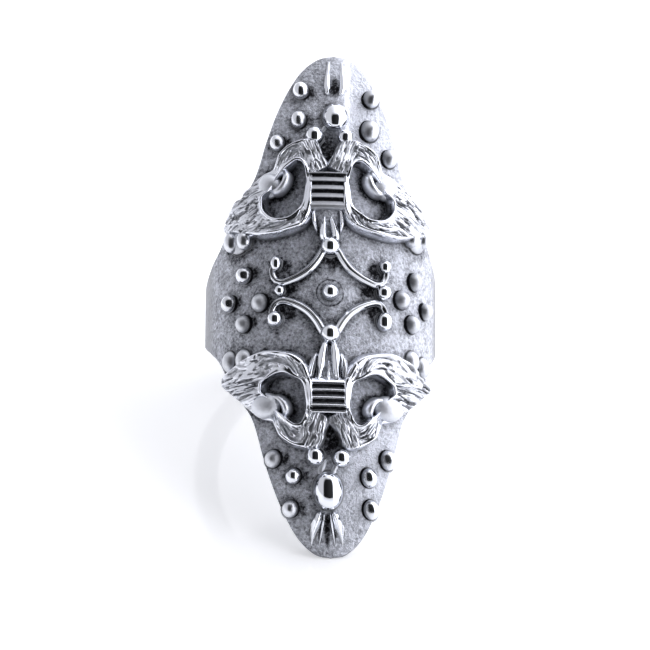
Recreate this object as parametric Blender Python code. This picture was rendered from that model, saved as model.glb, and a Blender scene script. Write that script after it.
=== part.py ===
"""Long cast silver saddle ring with raised scroll ornament, as one solid.

The face is drawn on a chart that lies unrolled on it. On the chart, `out` runs across the
finger (arc length round the band, plus to the wearer's right), `along` runs down the
finger's length (plus to the upper tip) and `lift` stands off the metal. The ring is modelled
upright in its own axes, with the finger along Y and the face up +Z, and then leaned back
until its lower tip and the back of its band stand on the floor.
"""
import math
from collections import namedtuple

import bmesh
import bpy
import numpy as np
from mathutils import Matrix, Vector

MM = 0.001

# Band and face, millimetres
BAND_RADIUS = 11.0
BORE_RADIUS = 8.9
FACE_REACH = 24.7
FACE_SAG = 4.5
SAG_POWER = 2.5
TIP_LEAN = 0.6
TIP_THICKNESS = 1.35
THICK_UNTIL = 5.0
THIN_FROM = 13.0
EDGE_ROUND = 0.3
FACE_ROWS = 11
BORE_ROWS = 7

# Rest: how deep the floor facets are filed into the lower tip and the band's lower rim
REST_FILE = 0.45

# Every raised form: how deep it is let into the metal, and how it is divided
ROOT = 0.45
DOME_SHOULDER = 0.8
DOME_SHOULDER_HEIGHT = 0.6
SLAB_POINTS = 5
BEAD_SIDES = 10
BEAD_RINGS = 5
DISC_SIDES = 16

Outline = namedtuple("Outline", "out half_length")
Section = namedtuple("Section", "out along half_width height")
Bead = namedtuple("Bead", "out along radius height")

# Outline of the metal, from the middle of the face to the back of the band
OUTLINE = (
    Outline(0.0, FACE_REACH),
    Outline(1.5, 24.3),
    Outline(3.0, 23.0),
    Outline(4.3, 20.9),
    Outline(5.5, 18.2),
    Outline(6.5, 15.4),
    Outline(7.2, 13.1),
    Outline(7.8, 11.7),
    Outline(8.7, 10.5),
    Outline(9.7, 9.4),
    Outline(10.8, 8.0),
    Outline(11.8, 6.5),
    Outline(12.9, 5.4),
    Outline(14.2, 4.6),
    Outline(15.7, 3.75),
    Outline(17.5, 3.1),
    Outline(20.0, 2.75),
    Outline(22.9, 2.6),
    Outline(25.8, 2.6),
    Outline(28.7, 2.6),
    Outline(31.6, 2.6),
    Outline(math.pi * BAND_RADIUS, 2.6),
)

# One quarter of the scroll ornament. It is mirrored to the other three.
ARM = (
    Section(1.5, 7.75, 0.75, 1.0),
    Section(2.7, 6.85, 0.8, 1.15),
    Section(4.4, 6.35, 0.85, 1.2),
    Section(6.1, 6.75, 1.05, 1.25),
    Section(7.7, 7.6, 1.45, 1.25),
    Section(8.1, 8.9, 1.4, 1.2),
    Section(7.3, 10.0, 1.05, 1.1),
    Section(6.3, 10.8, 0.7, 0.9),
)
SHOULDER = (
    Section(7.2, 6.9, 0.8, 1.0),
    Section(8.8, 7.2, 1.0, 1.15),
    Section(9.9, 7.3, 0.85, 1.0),
    Section(10.7, 7.2, 0.5, 0.6),
)
CLAW = (
    Section(4.45, 10.0, 0.4, 0.7),
    Section(4.1, 10.7, 0.55, 1.1),
    Section(3.95, 11.4, 0.4, 0.8),
)
LOBE = (
    Section(4.3, 11.5, 0.45, 0.8),
    Section(4.15, 12.5, 0.75, 1.1),
    Section(3.5, 13.6, 0.8, 1.1),
    Section(2.5, 14.4, 0.5, 0.8),
)
LEG = (
    Section(0.95, 11.5, 0.75, 1.0),
    Section(1.5, 12.8, 0.75, 1.15),
    Section(1.85, 13.9, 0.6, 1.0),
    Section(1.6, 14.9, 0.45, 0.8),
)
WINDOW_RIM = (
    Section(5.9, 8.4, 0.25, 0.8),
    Section(5.2, 7.5, 0.28, 1.15),
    Section(4.2, 7.3, 0.28, 1.3),
    Section(3.0, 7.8, 0.3, 1.35),
    Section(2.2, 8.7, 0.32, 1.4),
    Section(2.0, 10.1, 0.32, 1.4),
    Section(2.15, 11.6, 0.32, 1.4),
    Section(2.9, 12.8, 0.28, 1.2),
)
STAR_ARC = (
    Section(0.3, 4.2, 0.33, 0.75),
    Section(0.75, 3.5, 0.33, 0.75),
    Section(1.8, 2.0, 0.33, 0.75),
    Section(3.0, 1.3, 0.33, 0.75),
    Section(4.3, 0.85, 0.33, 0.75),
    Section(5.1, 1.2, 0.28, 0.7),
    Section(5.5, 2.0, 0.28, 0.7),
    Section(5.3, 2.7, 0.28, 0.7),
)
SIDE_BLADE = (
    Section(0.45, 4.9, 0.2, 0.6),
    Section(0.6, 6.2, 0.4, 0.95),
    Section(1.0, 7.6, 0.5, 0.95),
    Section(1.2, 8.4, 0.4, 0.8),
)
TIP_RAY = (
    Section(0.5, 19.4, 0.25, 0.4),
    Section(0.85, 21.0, 0.5, 0.75),
    Section(1.1, 22.6, 0.45, 0.5),
    Section(1.2, 23.8, 0.25, 0.15),
)
MIRRORED_RIDGES = (
    ("arm", ARM, 11),
    ("shoulder", SHOULDER, 5),
    ("claw", CLAW, 3),
    ("lobe", LOBE, 5),
    ("leg", LEG, 4),
    ("window_rim", WINDOW_RIM, 12),
    ("star_arc", STAR_ARC, 11),
    ("side_blade", SIDE_BLADE, 4),
    ("tip_ray", TIP_RAY, 4),
)

# Middle ridges, on the face's long axis, mirrored to the other tip only
MIDDLE_BLADE = (
    Section(0.0, 4.8, 0.2, 0.6),
    Section(0.0, 6.2, 0.32, 1.05),
    Section(0.0, 7.6, 0.35, 1.05),
    Section(0.0, 8.4, 0.3, 0.9),
)
MIDDLE_RAY = (
    Section(0.0, 19.3, 0.25, 0.4),
    Section(0.0, 20.6, 0.4, 0.6),
    Section(0.0, 22.4, 0.3, 0.4),
    Section(0.0, 24.0, 0.2, 0.15),
)
MIDDLE_RIDGES = (("middle_blade", MIDDLE_BLADE, 4), ("middle_ray", MIDDLE_RAY, 4))

# Banded collars: a block and the bars that stand across it
COLLAR_MIDDLE = 10.1
COLLAR_HALF_LENGTH = 1.75
COLLAR_HALF_WIDTH = 1.9
COLLAR_HEIGHT = 0.95
COLLAR_BARS = 4
BAR_HALF_LENGTH = 0.24
BAR_HEIGHT = 1.35
BAR_INSET = 0.1

# Beads that are mirrored to all four quarters
QUARTER_BEADS = (
    Bead(8.25, 5.75, 0.75, 0.55),
    Bead(9.85, 5.95, 0.8, 0.55),
    Bead(5.55, 10.95, 1.2, 0.15),
    Bead(5.75, 8.85, 0.55, 0.35),
    Bead(1.35, 15.3, 0.78, 0.45),
    Bead(5.15, 2.72, 0.58, 0.4),
)

# Beads that stand once each: the star's points, the ovals and the loose granules
SINGLE_BEADS = (
    Bead(0.0, -0.2, 0.68, 0.45),
    Bead(-0.05, 4.2, 0.8, 0.5),
    Bead(0.0, -4.2, 0.8, 0.5),
    Bead(-4.65, 0.05, 0.5, 0.4),
    Bead(5.0, 0.15, 0.62, 0.5),
    Bead(0.2, 17.6, 1.3, 0.35),
    Bead(-0.2, -18.4, 1.3, 0.35),
    Bead(-9.8, -0.4, 0.8, 0.25),
    Bead(-7.9, 1.85, 0.8, 0.25),
    Bead(-8.1, -2.85, 0.8, 0.25),
    Bead(-6.4, -0.9, 0.8, 0.25),
    Bead(10.0, -0.55, 0.8, 0.25),
    Bead(8.5, 1.9, 0.8, 0.25),
    Bead(8.1, -2.55, 0.8, 0.25),
    Bead(6.85, -0.4, 0.8, 0.25),
    Bead(-5.05, 14.9, 0.75, 0.25),
    Bead(-3.2, 17.2, 0.75, 0.25),
    Bead(-3.05, 20.35, 0.75, 0.25),
    Bead(5.7, 13.75, 0.8, 0.25),
    Bead(3.55, 16.35, 0.95, 0.2),
    Bead(3.7, 19.85, 0.8, 0.25),
    Bead(-5.05, -15.5, 0.75, 0.25),
    Bead(-3.35, -17.25, 0.75, 0.25),
    Bead(-3.65, -20.1, 0.75, 0.25),
    Bead(5.25, -15.2, 0.75, 0.25),
    Bead(3.7, -17.15, 0.75, 0.25),
    Bead(3.7, -19.95, 0.75, 0.25),
)
DISC_RADIUS = 1.35
DISC_HEIGHT = 0.25

SILVER_COLOUR = (0.72, 0.73, 0.76, 1.0)
SILVER_ROUGHNESS = 0.28


def sag(along):
    """How far the face has bent down towards the finger, `along` from its middle."""
    return FACE_SAG * (abs(along) / FACE_REACH) ** SAG_POWER


def sag_slope(along):
    """Slope of the lengthwise bend."""
    slope = FACE_SAG * SAG_POWER / FACE_REACH * (abs(along) / FACE_REACH) ** (SAG_POWER - 1.0)
    return math.copysign(slope, along)


def on_face(out, along, lift):
    """Chart place to a point in the ring's own axes, in metres."""
    angle = (out + TIP_LEAN * (along / FACE_REACH) ** 2) / BAND_RADIUS
    normal = Vector((math.sin(angle), sag_slope(along) * math.cos(angle), math.cos(angle)))
    foot = Vector((BAND_RADIUS * math.sin(angle), along, BAND_RADIUS * math.cos(angle) - sag(along)))
    return (foot + normal.normalized() * lift) * MM


def thickness(along):
    """The band is thick round the finger and thins towards the tips."""
    share = min(max((abs(along) - THICK_UNTIL) / (THIN_FROM - THICK_UNTIL), 0.0), 1.0)
    blend = share * share * (3.0 - 2.0 * share)
    band = BAND_RADIUS - BORE_RADIUS
    return band + (TIP_THICKNESS - band) * blend


def smooth_path(sections, steps):
    """Sections at even steps along a Catmull-Rom curve through the named ones."""
    rows = np.array(sections, dtype=float)
    padded = np.vstack([2.0 * rows[0] - rows[1], rows, 2.0 * rows[-1] - rows[-2]])
    spans = len(rows) - 1
    path = []
    for share in np.linspace(0.0, spans, steps + 1):
        span = min(int(share), spans - 1)
        t = share - span
        before, start, end, after = padded[span:span + 4]
        point = start + 0.5 * t * (
            end - before
            + t * (2.0 * before - 5.0 * start + 4.0 * end - after
                   + t * (3.0 * (start - end) + after - before))
        )
        path.append(point)
    return path


def closed_tube(rings, name):
    """A solid skinned over rings of points, with both ends filled."""
    mesh = bmesh.new()
    loops = [[mesh.verts.new(point) for point in ring] for ring in rings]
    count = len(loops[0])
    for first, second in zip(loops, loops[1:]):
        for k in range(count):
            mesh.faces.new((first[k], first[(k + 1) % count], second[(k + 1) % count], second[k]))
    mesh.faces.new(loops[0])
    mesh.faces.new(loops[-1])
    return finished(mesh, name)


def finished(mesh, name):
    """Turn a bmesh into an object with its faces pointing out."""
    bmesh.ops.recalc_face_normals(mesh, faces=mesh.faces)
    data = bpy.data.meshes.new(name)
    mesh.to_mesh(data)
    mesh.free()
    made = bpy.data.objects.new(name, data)
    bpy.context.scene.collection.objects.link(made)
    return made


def metal_section(outline):
    """The metal's cross-section at one place round the band, as a loop of points."""
    reach = outline.half_length - EDGE_ROUND
    face = [on_face(outline.out, along, 0.0) for along in np.linspace(-reach, reach, FACE_ROWS)]
    bore = [
        on_face(outline.out, along, -thickness(along))
        for along in np.linspace(reach, -reach, BORE_ROWS)
    ]
    middle = -0.5 * thickness(outline.half_length)
    upper_edge = on_face(outline.out, outline.half_length, middle)
    lower_edge = on_face(outline.out, -outline.half_length, middle)
    return face + [upper_edge] + bore + [lower_edge]


def make_band():
    """Face plate and band: cross-sections bridged all the way round the finger."""
    half = list(OUTLINE)
    other = [Outline(-row.out, row.half_length) for row in half[1:-1]]
    around = half + other[::-1]
    mesh = bmesh.new()
    loops = [[mesh.verts.new(point) for point in metal_section(row)] for row in around]
    count = len(loops[0])
    for first, second in zip(loops, loops[1:] + loops[:1]):
        for k in range(count):
            mesh.faces.new((first[k], first[(k + 1) % count], second[(k + 1) % count], second[k]))
    return finished(mesh, "ring")


def make_ridge(name, sections, steps, side, end):
    """A raised form: a five-sided dome carried along its path, mirrored by side and end."""
    path = smooth_path(sections, steps)
    rings = []
    for k, (out, along, half_width, height) in enumerate(path):
        before = path[max(k - 1, 0)]
        after = path[min(k + 1, len(path) - 1)]
        run = Vector((after[0] - before[0], after[1] - before[1])).normalized()
        across = Vector((run.y, -run.x)) * half_width
        shoulder = DOME_SHOULDER_HEIGHT * height
        profile = (
            (-1.0, -ROOT),
            (-DOME_SHOULDER, shoulder),
            (0.0, height),
            (DOME_SHOULDER, shoulder),
            (1.0, -ROOT),
        )
        rings.append([
            on_face(side * (out + share * across.x), end * (along + share * across.y), lift)
            for share, lift in profile
        ])
    return closed_tube(rings, name)


def make_bead(name, bead):
    """A round bead let into the metal, its centre `height` above it."""
    mesh = bmesh.new()
    foot = on_face(bead.out, bead.along, 0.0)
    centre = on_face(bead.out, bead.along, bead.height)
    turn = (centre - foot).to_track_quat("Z", "Y").to_matrix().to_4x4()
    place = Matrix.Translation(centre) @ turn
    bmesh.ops.create_uvsphere(
        mesh, u_segments=BEAD_SIDES, v_segments=BEAD_RINGS, radius=bead.radius * MM, matrix=place
    )
    return finished(mesh, name)


def make_slab(name, out_half, along_low, along_high, height):
    """A low block across the face's long axis."""
    rings = []
    for along in (along_low, along_high):
        across = np.linspace(-out_half, out_half, SLAB_POINTS)
        top = [on_face(out, along, height) for out in across]
        bottom = [on_face(out, along, -ROOT) for out in across[::-1]]
        rings.append(top + bottom)
    return closed_tube(rings, name)


def make_collar(end):
    """A banded collar: its block, then its bars."""
    low = COLLAR_MIDDLE - COLLAR_HALF_LENGTH
    high = COLLAR_MIDDLE + COLLAR_HALF_LENGTH
    solids = [make_slab("collar_block", COLLAR_HALF_WIDTH, end * low, end * high, COLLAR_HEIGHT)]
    room = COLLAR_HALF_LENGTH - 2.0 * BAR_HALF_LENGTH
    for middle in np.linspace(COLLAR_MIDDLE - room, COLLAR_MIDDLE + room, COLLAR_BARS):
        low = end * (middle - BAR_HALF_LENGTH)
        high = end * (middle + BAR_HALF_LENGTH)
        solids.append(make_slab("collar_bar", COLLAR_HALF_WIDTH - BAR_INSET, low, high, BAR_HEIGHT))
    return solids


def make_disc():
    """The low round disc that the centre bead stands on."""
    mesh = bmesh.new()
    middle = on_face(0.0, SINGLE_BEADS[0].along, 0.5 * (DISC_HEIGHT - ROOT))
    bmesh.ops.create_cone(
        mesh,
        cap_ends=True,
        segments=DISC_SIDES,
        radius1=DISC_RADIUS * MM,
        radius2=DISC_RADIUS * MM,
        depth=(DISC_HEIGHT + ROOT) * MM,
        matrix=Matrix.Translation(middle),
    )
    return finished(mesh, "centre_disc")


def make_ornament():
    """Every raised form on the face."""
    solids = [make_disc()]
    for end in (1, -1):
        solids += make_collar(end)
        for name, sections, steps in MIDDLE_RIDGES:
            solids.append(make_ridge(name, sections, steps, 1, end))
        for side in (1, -1):
            for name, sections, steps in MIRRORED_RIDGES:
                solids.append(make_ridge(name, sections, steps, side, end))
            for bead in QUARTER_BEADS:
                placed = bead._replace(out=side * bead.out, along=end * bead.along)
                solids.append(make_bead("quarter_bead", placed))
    for bead in SINGLE_BEADS:
        solids.append(make_bead("bead", bead))
    return solids


def rest_line():
    """Lowest corner of the lower tip and of the band's back, and the angle between them."""
    front = metal_section(OUTLINE[0])
    back = metal_section(OUTLINE[-1])
    tip = front[FACE_ROWS + BORE_ROWS]
    heel = back[0]
    return tip, heel, math.atan2(tip.z - heel.z, heel.y - tip.y)


def make_floor_cut(tip, angle):
    """A block whose top is the floor that the ring stands on, in the ring's own axes."""
    size = 4.0 * FACE_REACH * MM
    mesh = bmesh.new()
    bmesh.ops.create_cube(mesh, size=size)
    down = Vector((0.0, -math.sin(angle), -math.cos(angle)))
    turn = Matrix.Rotation(-angle, 4, "X")
    middle = tip + down * (0.5 * size - REST_FILE * MM)
    bmesh.ops.transform(mesh, matrix=Matrix.Translation(middle) @ turn, verts=mesh.verts)
    return finished(mesh, "floor_cut")


def add_boolean(ring, name, operation, tools):
    """Join the tools to the ring, or cut them from it, with one exact Boolean."""
    group = bpy.data.collections.new(name)
    for tool in tools:
        group.objects.link(tool)
        bpy.context.scene.collection.objects.unlink(tool)
        tool.hide_render = True
        tool.display_type = "WIRE"
    bpy.context.scene.collection.children.link(group)
    step = ring.modifiers.new(name, "BOOLEAN")
    step.operation = operation
    step.solver = "EXACT"
    step.operand_type = "COLLECTION"
    step.collection = group


def silver():
    """Cast silver, between satin and polished."""
    made = bpy.data.materials.new("cast_silver")
    made.use_nodes = True
    shader = made.node_tree.nodes["Principled BSDF"]
    shader.inputs["Base Color"].default_value = SILVER_COLOUR
    shader.inputs["Metallic"].default_value = 1.0
    shader.inputs["Roughness"].default_value = SILVER_ROUGHNESS
    return made


def stand_on_floor(ring, parts, angle):
    """Lean everything back by the rest angle and centre its footprint on the origin."""
    rest = bpy.data.objects.new("rest_pose", None)
    bpy.context.scene.collection.objects.link(rest)
    for part in parts:
        part.parent = rest
    rest.rotation_euler = (angle, 0.0, 0.0)
    bpy.context.view_layer.update()
    graph = bpy.context.evaluated_depsgraph_get()
    seen = ring.evaluated_get(graph)
    mesh = seen.to_mesh()
    places = np.array([seen.matrix_world @ vertex.co for vertex in mesh.vertices])
    seen.to_mesh_clear()
    low = places.min(axis=0)
    high = places.max(axis=0)
    rest.location = (-0.5 * (low[0] + high[0]), -0.5 * (low[1] + high[1]), -low[2])


def main():
    for thing in list(bpy.data.objects):
        bpy.data.objects.remove(thing)
    ring = make_band()
    ring.data.materials.append(silver())
    ornament = make_ornament()
    tip, heel, angle = rest_line()
    floor_cut = make_floor_cut(tip, angle)
    add_boolean(ring, "raised_forms", "UNION", ornament)
    add_boolean(ring, "floor_facets", "DIFFERENCE", [floor_cut])
    stand_on_floor(ring, [ring, floor_cut] + ornament, angle)


main()
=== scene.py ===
"""Looks of the long cast silver saddle ring with raised scroll ornament.

The face is drawn on a chart that lies unrolled on it, in millimetres. On the chart, `out`
runs across the finger, `along` runs towards the upper tip and `lift` stands off the metal.
Every form is a surface of two parameters on this chart, carried to its place by on_face().
"""
import math
from collections import namedtuple

import bpy
import numpy as np
from mathutils import Matrix, Vector


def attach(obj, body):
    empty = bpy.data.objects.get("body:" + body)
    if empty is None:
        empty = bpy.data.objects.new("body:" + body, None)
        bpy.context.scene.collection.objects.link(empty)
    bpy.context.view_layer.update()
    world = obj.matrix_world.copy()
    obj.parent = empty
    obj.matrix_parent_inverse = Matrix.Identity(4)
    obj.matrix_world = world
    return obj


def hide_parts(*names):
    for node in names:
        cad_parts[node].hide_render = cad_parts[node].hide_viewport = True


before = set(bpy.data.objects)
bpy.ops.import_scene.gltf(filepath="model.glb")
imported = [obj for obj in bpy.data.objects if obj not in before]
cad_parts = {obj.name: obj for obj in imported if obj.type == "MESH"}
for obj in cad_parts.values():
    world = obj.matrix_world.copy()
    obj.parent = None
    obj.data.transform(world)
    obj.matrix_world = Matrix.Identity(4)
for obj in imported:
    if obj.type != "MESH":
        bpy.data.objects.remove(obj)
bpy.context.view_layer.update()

MM = 0.001

# Band and face, millimetres
BAND_RADIUS = 11.0
BORE_RADIUS = 8.9
BAND_HALF_LENGTH = 2.6
FACE_REACH = 24.7
FACE_SAG = 4.5
SAG_POWER = 2.5
TIP_LEAN = 0.6
TIP_THICKNESS = 1.35
THICK_UNTIL = 5.0
THIN_FROM = 13.0
EDGE_ROUND = 0.3
FINE_UNTIL = 14.2
SATIN_UNTIL = 14.7
RIPPLE_UNTIL = 14.0
RIPPLE_HEIGHT = 0.06
KEEL_OUT = 1.0
KEEL_LEFT = 1.7
KEEL_RIGHT = 0.8
KEEL_HEIGHT = 0.18
KEEL_START = 14.5

# How the ring leans at rest, and where the middle of its finger hole then is
LEAN_BACK = math.radians(37.274)
HOLE_MIDDLE = (0.0, 3.774, 9.706)

# The photograph's view of the ring, in the ring's own axes
VIEW_BELOW = math.radians(15.0)
VIEW_LEFT = math.radians(4.6)
VIEW_ROLL = math.radians(0.45)
VIEW_DISTANCE = 400.0
VIEW_SHIFT = (0.44, -0.35)
PIXELS_PER_MM = 10.45
FRAME_PIXELS = 650.0
SENSOR = 36.0

# Relief of the ornament, millimetres
ROOT = 0.45
FOOT = 0.12
WINDOW_FLOOR = -0.22
WINDOW_ROUND = 0.2
OUTSIDE_ROUND = 0.5
LIP_HEIGHT = 0.12
LIP_PLACE = 0.26
LIP_SPREAD = 0.2
ROLL_PLACE = 0.32
ROLL_SPREAD = 0.24
BARK_DEPTH = 0.28
BARK_SWELL = 0.25
POST_SLOPE = 0.8
POST_OUT = 3.0
RIDGE_END = 0.35
ROOF_EDGE = 0.12
ROOF_EAVES = 0.35
BEAD_FLARE = 0.3
RIGHT_GROOVE = 0.1
LEFT_GROOVE = 0.28

# Oxide and painted shade, from 0 on clean metal to 1 where it is black
FIELD_FILM = 0.38
BAND_FILM = 0.7
# Painted shade on the lower tip and on the upper tip left of its keel
TIP_SHADE = 0.16
# Oxide in the bark's marks, painted darker on the right scrolls and lighter on the left ones to set each
# side's tone under the side lights; the right bark also gets an even painted darkening
RIGHT_BARK_FILM_AND_SHADE = 0.15
RIGHT_BARK_OXIDE_AND_SHADE = 0.88
LEFT_BARK_OXIDE_AND_SHADE = 0.36
LEFT_SHOULDER_OXIDE_AND_SHADE = 0.44
LEFT_LEG_OXIDE_AND_SHADE = 0.64
CLAW_SHADOW = 0.95
WINDOW_FILM = 0.04
WINDOW_SHADOW = 0.86
BEAD_SHADOW = 0.8
# Painted shade on the granules' flanks towards the middle of the ring
GRANULE_SHADE = 0.6

# Polish, from 0 for satin to 1 for a mirror
BAND_POLISH = 0.75
STRIP_POLISH = 0.6

# Rows and columns of points
FRAME_STEPS = 520
FRAME_COLUMNS = 92
FACE_COLUMNS = 236
BORE_COLUMNS = 40
BALL_ROWS = 16
FOOT_ROWS = 6
FLANK_ROWS = 12
DISC_SIDES = 64

# Seeds of the noises, and the factors that scatter their heights
FIRST_SEED = 20
SEED_STEP = 9
WAVE_SEED = 11
SWELL_SEED = 31
HASH = (127.1, 311.7, 74.7, 43758.5453)

Outline = namedtuple("Outline", "out half_length")
Section = namedtuple("Section", "out along half_width height")
Frame = namedtuple("Frame", "inner_out inner_along outer_out outer_along height bark roll")
Bead = namedtuple("Bead", "out along radius height stretch polish lean", defaults=(0.0,))
Pool = namedtuple("Pool", "out along half_out half_along depth rim", defaults=(1.75,))
Collar = namedtuple("Collar", "sloping shift step stain polish")
Shell = namedtuple("Shell", "points quads tris polish recess")
Ridge = namedtuple(
    "Ridge", "sections steps columns polished crest fade cut depth", defaults=(0.0, 0.0, None, 0.0)
)
Finish = namedtuple("Finish", "name satin smooth_roughness satin_roughness oxide bump color mottle")

OUTLINE = (
    Outline(0.0, FACE_REACH),
    Outline(1.5, 24.3),
    Outline(3.0, 23.0),
    Outline(4.3, 20.9),
    Outline(5.5, 18.2),
    Outline(6.5, 15.4),
    Outline(7.2, 13.1),
    Outline(7.8, 11.7),
    Outline(8.7, 10.5),
    Outline(9.7, 9.4),
    Outline(10.8, 8.0),
    Outline(11.8, 6.5),
    Outline(12.9, 5.4),
    Outline(14.2, 4.6),
    Outline(15.7, 3.75),
    Outline(17.5, 3.1),
    Outline(20.0, 2.75),
    *(Outline(out, BAND_HALF_LENGTH) for out in (22.9, 25.8, 28.7, 31.6, math.pi * BAND_RADIUS)),
)

# The scroll ornament, one quarter. It is mirrored to the other three.
SCROLL_FRAME = (
    Frame(2.35, 8.7, 1.15, 8.1, 1.25, 0.1, 0.1),
    Frame(2.75, 7.95, 1.75, 6.7, 1.2, 0.8, 0.5),
    Frame(3.45, 7.45, 2.9, 5.95, 1.15, 1.0, 1.0),
    Frame(4.2, 7.3, 4.4, 5.6, 1.2, 1.0, 1.0),
    Frame(4.9, 7.45, 6.0, 5.5, 1.2, 1.0, 1.0),
    Frame(5.45, 7.9, 7.5, 5.85, 1.15, 1.0, 0.6),
    Frame(5.8, 8.45, 9.5, 6.45, 1.1, 1.0, 0.0),
    Frame(5.85, 8.95, 10.9, 7.0, 1.05, 1.0, 0.0),
    Frame(5.75, 9.35, 10.25, 8.35, 1.1, 1.0, 0.0),
    Frame(5.4, 9.65, 8.8, 9.8, 1.1, 0.9, 0.0),
    Frame(5.1, 9.9, 7.7, 10.9, 1.0, 0.5, 0.0),
    Frame(4.95, 10.4, 6.6, 11.9, 0.8, 0.1, 0.6),
    Frame(4.65, 10.95, 5.45, 12.3, 0.8, 0.2, 1.0),
    Frame(4.05, 11.5, 4.95, 12.9, 0.95, 0.6, 1.0),
    Frame(3.45, 12.0, 4.45, 13.7, 1.05, 1.0, 1.0),
    Frame(2.95, 12.4, 3.5, 14.5, 1.05, 1.0, 1.0),
    Frame(2.5, 12.4, 2.1, 15.0, 1.05, 1.0, 0.4),
    Frame(2.25, 12.05, 0.95, 14.7, 1.05, 1.0, 0.0),
    Frame(2.15, 11.7, 0.4, 13.4, 1.1, 1.0, 0.0),
    Frame(2.1, 11.3, -0.15, 12.2, 0.92, 0.9, 0.0),
    Frame(2.1, 10.8, 1.0, 11.3, 1.0, 0.2, 0.0),
    Frame(2.15, 9.9, 1.15, 9.9, 1.35, 0.0, 0.0),
)
CLAW = (
    Section(5.3, 9.85, 0.35, 0.7),
    Section(4.5, 10.0, 0.46, 0.95),
    Section(3.95, 10.55, 0.52, 1.05),
    Section(3.75, 11.2, 0.52, 1.0),
    Section(3.95, 11.85, 0.38, 0.6),
)
STAR_ARC = (
    Section(0.3, 4.5, 0.46, 0.75),
    Section(0.75, 3.75, 0.46, 0.75),
    Section(1.2, 2.95, 0.46, 0.75),
    Section(1.85, 2.14, 0.46, 0.75),
    Section(2.65, 1.54, 0.46, 0.75),
    Section(3.5, 1.12, 0.45, 0.75),
    Section(4.35, 0.88, 0.42, 0.75),
    Section(5.05, 1.12, 0.38, 0.7),
    Section(5.42, 1.78, 0.36, 0.7),
    Section(5.4, 2.55, 0.34, 0.7),
)
FAN_WEB = (
    Section(0.0, 5.2, 0.35, 0.35),
    Section(0.0, 6.0, 0.8, 0.6),
    Section(0.0, 6.9, 1.35, 0.75),
    Section(0.0, 7.8, 1.75, 0.85),
    Section(0.0, 8.7, 1.8, 0.85),
)
MIDDLE_BLADE = (
    Section(0.0, 6.3, 0.12, 0.7),
    Section(0.0, 7.1, 0.24, 1.1),
    Section(0.0, 7.9, 0.24, 0.95),
    Section(0.0, 8.6, 0.15, 0.6),
)
SIDE_BLADE = (
    Section(0.36, 4.8, 0.28, 0.8),
    Section(0.48, 5.8, 0.42, 1.2),
    Section(0.64, 6.7, 0.44, 1.2),
    Section(0.85, 7.6, 0.36, 1.0),
    Section(1.0, 8.4, 0.22, 0.7),
)
OUTER_BLADE = (
    Section(1.0, 5.8, 0.2, 0.4),
    Section(1.3, 6.5, 0.36, 0.95),
    Section(1.55, 7.3, 0.38, 1.05),
    Section(1.65, 8.2, 0.25, 0.8),
)
UPPER_PETAL = (
    Section(0.55, 4.7, 0.28, 0.7),
    Section(0.55, 5.4, 0.38, 1.1),
    Section(0.47, 6.2, 0.36, 1.2),
    Section(0.34, 6.9, 0.26, 1.1),
    Section(0.22, 7.6, 0.12, 0.8),
)
UPPER_STRAND = (
    Section(1.05, 5.9, 0.14, 0.5),
    Section(1.2, 6.7, 0.24, 0.95),
    Section(1.2, 7.5, 0.24, 1.0),
    Section(1.05, 8.2, 0.15, 0.8),
)
UPPER_RAY = (
    Section(0.55, 19.9, 0.3, 0.35),
    Section(0.72, 20.6, 0.36, 0.72),
    Section(0.72, 21.5, 0.36, 0.6),
    Section(0.66, 22.6, 0.3, 0.4),
    Section(0.6, 23.9, 0.22, 0.2),
)
OUTER_RAY = (
    Section(0.55, 20.3, 0.24, 0.3),
    Section(0.82, 20.95, 0.42, 0.62),
    Section(1.15, 21.8, 0.5, 0.44),
    Section(1.38, 22.7, 0.5, 0.2),
    Section(1.5, 23.6, 0.4, 0.02),
)
INNER_RAY = (
    Section(0.26, 20.5, 0.12, 0.4),
    Section(0.36, 21.3, 0.16, 0.5),
    Section(0.5, 22.1, 0.17, 0.32),
    Section(0.66, 22.9, 0.16, 0.12),
    Section(0.78, 23.6, 0.14, 0.0),
)
NECK_PETAL = (
    Section(0.7, 15.7, 0.25, 0.02),
    Section(0.62, 16.4, 0.36, 0.14),
    Section(0.55, 17.3, 0.36, 0.16),
)

COLLAR_MIDDLE = 10.0
COLLAR_HALF_LENGTH = 1.68
COLLAR_HALF_WIDTH = 1.58
COLLAR_GROOVES = 4
GROOVE_PITCH = 0.56
COLLAR_BAR_LIFT = 1.22
COLLAR_GROOVE_LIFT = 1.0
STEP_SLOPE = 0.55
UPPER_COLLAR = Collar(sloping=True, shift=0.28, step=0.2, stain=0.42, polish=0.3)
LOWER_COLLAR = Collar(sloping=False, shift=0.0, step=0.65, stain=0.0, polish=0.8)

# The ornament was cut by hand. The scrolls stand a little left, and the upper arms nearer the middle.
UPPER_SHIFT = -0.4
LOWER_SHIFT = -0.22
SHIFT_REACH = 10.0
UPPER_TIP_SHIFT = 0.1
LOWER_TIP_SHIFT = -0.3
ARM_DRIFT = 0.33
WINDOW_DRIFT = 0.7
LEG_DRIFT = 0.5

# Where the parts of a scroll begin and end along the finger, and across it
SCROLL_START = 4.0
LOWER_ARM_START = 7.0
WINDOW_START = 7.3
ARM_END = 12.0
LEG_START = 12.0
LEG_BARK_START = 11.4
LEG_BARK_SIDE = 2.9
LEG_SIDE = 3.0
TIP_START = 15.8
SHOULDER_SIDE = 5.2

# How far the bark's strands slant on the shoulders and legs
UPPER_SLANT = -0.45
LOWER_SLANT = 0.18
LEG_SLANT = 0.35
WINDOW_SLANT = 0.3

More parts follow.
